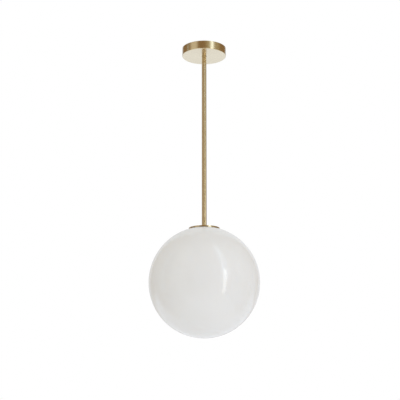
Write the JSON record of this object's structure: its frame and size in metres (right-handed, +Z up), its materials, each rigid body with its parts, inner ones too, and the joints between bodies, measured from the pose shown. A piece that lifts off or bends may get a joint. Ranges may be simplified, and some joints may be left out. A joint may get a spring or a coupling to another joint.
{
  "type": "pendant ceiling light",
  "caption": "Pendant ceiling light: round flush canopy, straight brass stem, thin fitter disc and a glossy opal glass globe round one screw-in lamp.",
  "frame": {"origin": "middle of the ceiling plate's top face, where the light meets the ceiling", "axes": "+Z up along the stem, the light hangs to -Z; +X runs through the two ceiling screw slots"},
  "size_m": [0.3, 0.3, 0.82],
  "materials": {
    "satin_brass": "satin brushed, clear lacquered",
    "plain_brass": "machined",
    "zinc_steel": "zinc plated",
    "spring_steel": "stainless spring strip",
    "nylon": "natural nylon",
    "guide_nylon": "tan nylon",
    "block_plastic": "white polyamide",
    "opal_glass": "gloss opal white",
    "silicone": "translucent white silicone",
    "phenolic": "black moulded phenolic",
    "insert_ceramic": "white glazed steatite",
    "live_sleeve": "brown wire sleeve",
    "neutral_sleeve": "blue wire sleeve",
    "earth_sleeve": "green and yellow wire sleeve",
    "bulb_opal": "opal polycarbonate",
    "bulb_white": "white thermoplastic",
    "bulb_nickel": "nickel plated",
    "bulb_glass": "black vitrite",
    "board_white": "white solder mask on aluminium",
    "led_yellow": "phosphor",
    "board_green": "circuit board"
  },
  "bodies": {
    "fixed_frame": {"ceiling_plate": "zinc_steel", "cable_entry_bush": "nylon", "terminal_block_body": "block_plastic", "terminal_block_tubes": "plain_brass", "terminal_clamp_screws": "zinc_steel", "terminal_block_screws": "zinc_steel", "earth_screw": "plain_brass", "earth_screw_washer": "zinc_steel", "earth_ring_terminal": "zinc_steel", "earth_wire": "earth_sleeve", "stem_top_nipple": "zinc_steel", "top_plate_washer": "zinc_steel", "top_lock_washer": "zinc_steel", "top_hex_nut": "zinc_steel", "nipple_end_bush": "nylon", "stem_tube": "satin_brass", "stem_bottom_nipple": "zinc_steel", "fitter_cap": "satin_brass", "globe_gasket": "silicone", "clip_carrier": "zinc_steel", "globe_clips": "spring_steel", "clip_rivets": "zinc_steel", "lower_lock_washer": "zinc_steel", "lower_hex_nut": "zinc_steel", "lampholder_cap": "phenolic", "lampholder_locking_screw": "zinc_steel", "lampholder_insert": "insert_ceramic", "lampholder_terminals": "plain_brass", "lampholder_terminal_screws": "zinc_steel", "lampholder_screw_shell": "plain_brass", "lampholder_centre_spring": "plain_brass", "lampholder_rivets": "plain_brass", "lampholder_skirt": "phenolic", "live_wire": "live_sleeve", "neutral_wire": "neutral_sleeve"},
    "canopy": {"canopy_cup": "satin_brass", "canopy_guide_bush": "guide_nylon", "canopy_screw_bosses": "plain_brass", "canopy_grub_screws": "satin_brass"},
    "globe": {"glass_globe": "opal_glass"},
    "bulb_axis": {"bulb_centre_contact": "bulb_nickel"},
    "bulb": {"bulb_cap_insulator": "bulb_glass", "bulb_screw_cap": "bulb_nickel", "bulb_housing": "bulb_white", "bulb_envelope": "bulb_opal", "bulb_led_board": "board_white", "bulb_led_chips": "led_yellow", "bulb_driver_board": "board_green"}
  },
  "joints": [
    {"name": "canopy_slide", "type": "slide", "parent": "fixed_frame", "child": "canopy", "axis": [0, 0, -1], "range_m": [0, 0.497]},
    {"name": "globe_drop", "type": "slide", "parent": "fixed_frame", "child": "globe", "axis": [0, 0, -1], "range_m": [0, 0.2], "deforming": ["globe_clips"]},
    {"name": "bulb_travel", "type": "slide", "parent": "fixed_frame", "child": "bulb_axis", "axis": [0, 0, -1], "range_m": [0, 0.01089]},
    {"name": "bulb_turn", "type": "hinge", "parent": "bulb_axis", "child": "bulb", "pos_m": [0, 0, -0.607], "axis": [0, 0, -1], "range_deg": [0, 1080]}
  ],
  "couplings": [
    {"joint": "bulb_travel", "follows": "bulb_turn", "m_per_rad": 0.00057757}
  ]
}
